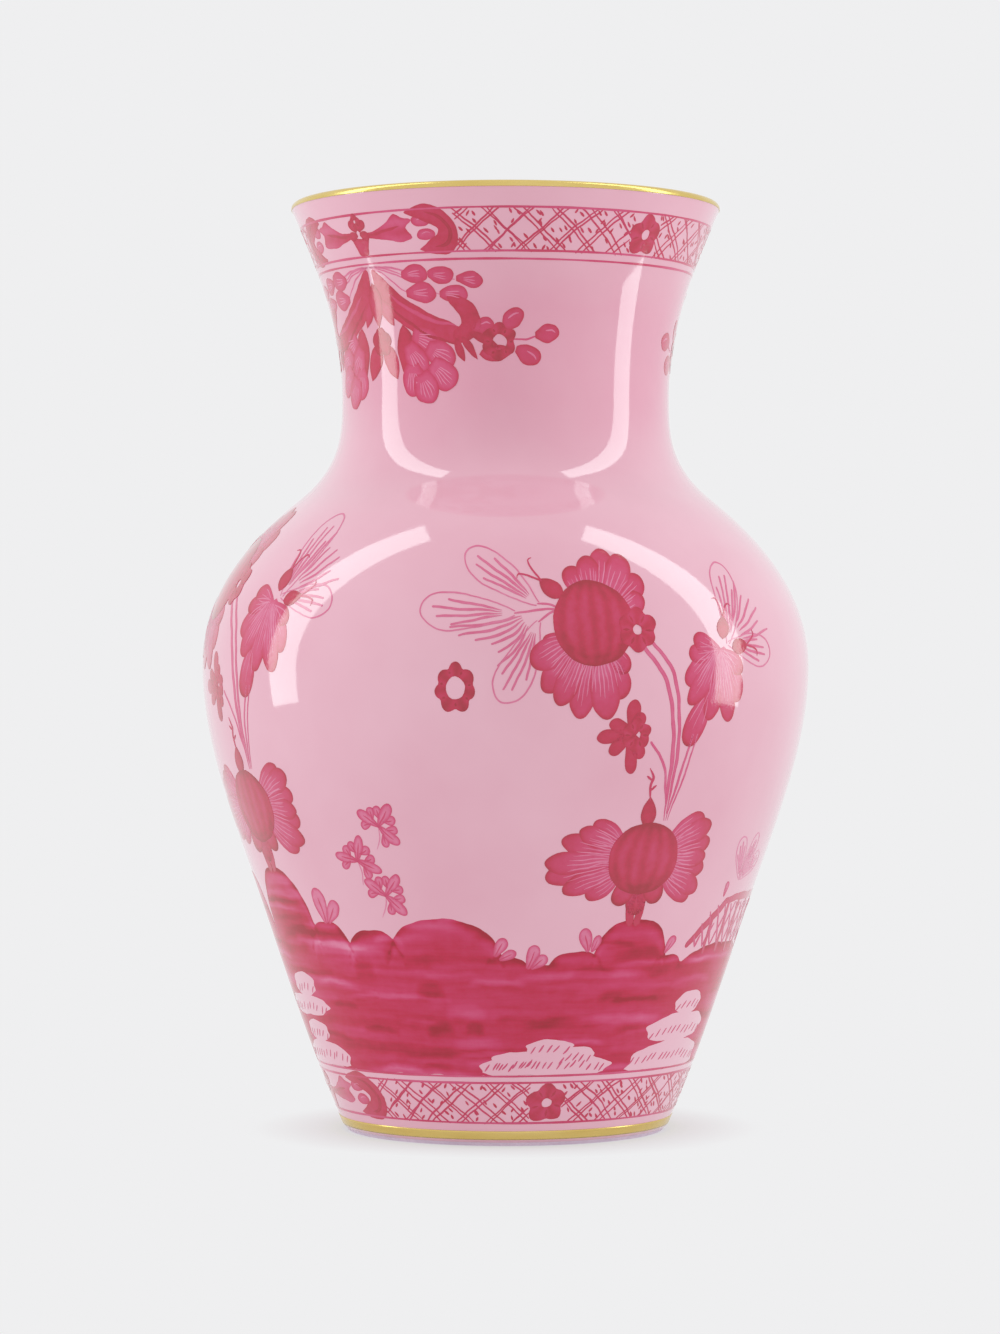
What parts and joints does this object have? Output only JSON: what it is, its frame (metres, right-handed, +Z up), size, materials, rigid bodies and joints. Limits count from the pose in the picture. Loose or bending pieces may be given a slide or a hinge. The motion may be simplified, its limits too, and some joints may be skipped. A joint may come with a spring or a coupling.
{
  "type": "porcelain vase",
  "caption": "Baluster vase in pink glazed porcelain, with a waisted neck, a flared gilded mouth, a turned foot ring and painted border lines.",
  "frame": {"origin": "centre of the plane that the foot ring stands on", "axes": "+Z up along the axis of revolution; -Y towards the side with the large pomegranate flower"},
  "size_m": [0.197, 0.197, 0.3001],
  "materials": {
    "bisque": "unglazed",
    "pink_glaze": "gloss",
    "lining_glaze": "gloss",
    "gilding": "satin",
    "crimson_enamel": "gloss"
  },
  "bodies": {
    "root": {"porcelain_body": "bisque", "outer_glaze": "pink_glaze", "inner_glaze": "lining_glaze", "recess_glaze": "lining_glaze", "lip_gilding": "gilding", "foot_gilding": "gilding", "neck_border_lines": "crimson_enamel", "foot_border_lines": "crimson_enamel"}
  },
  "joints": []
}
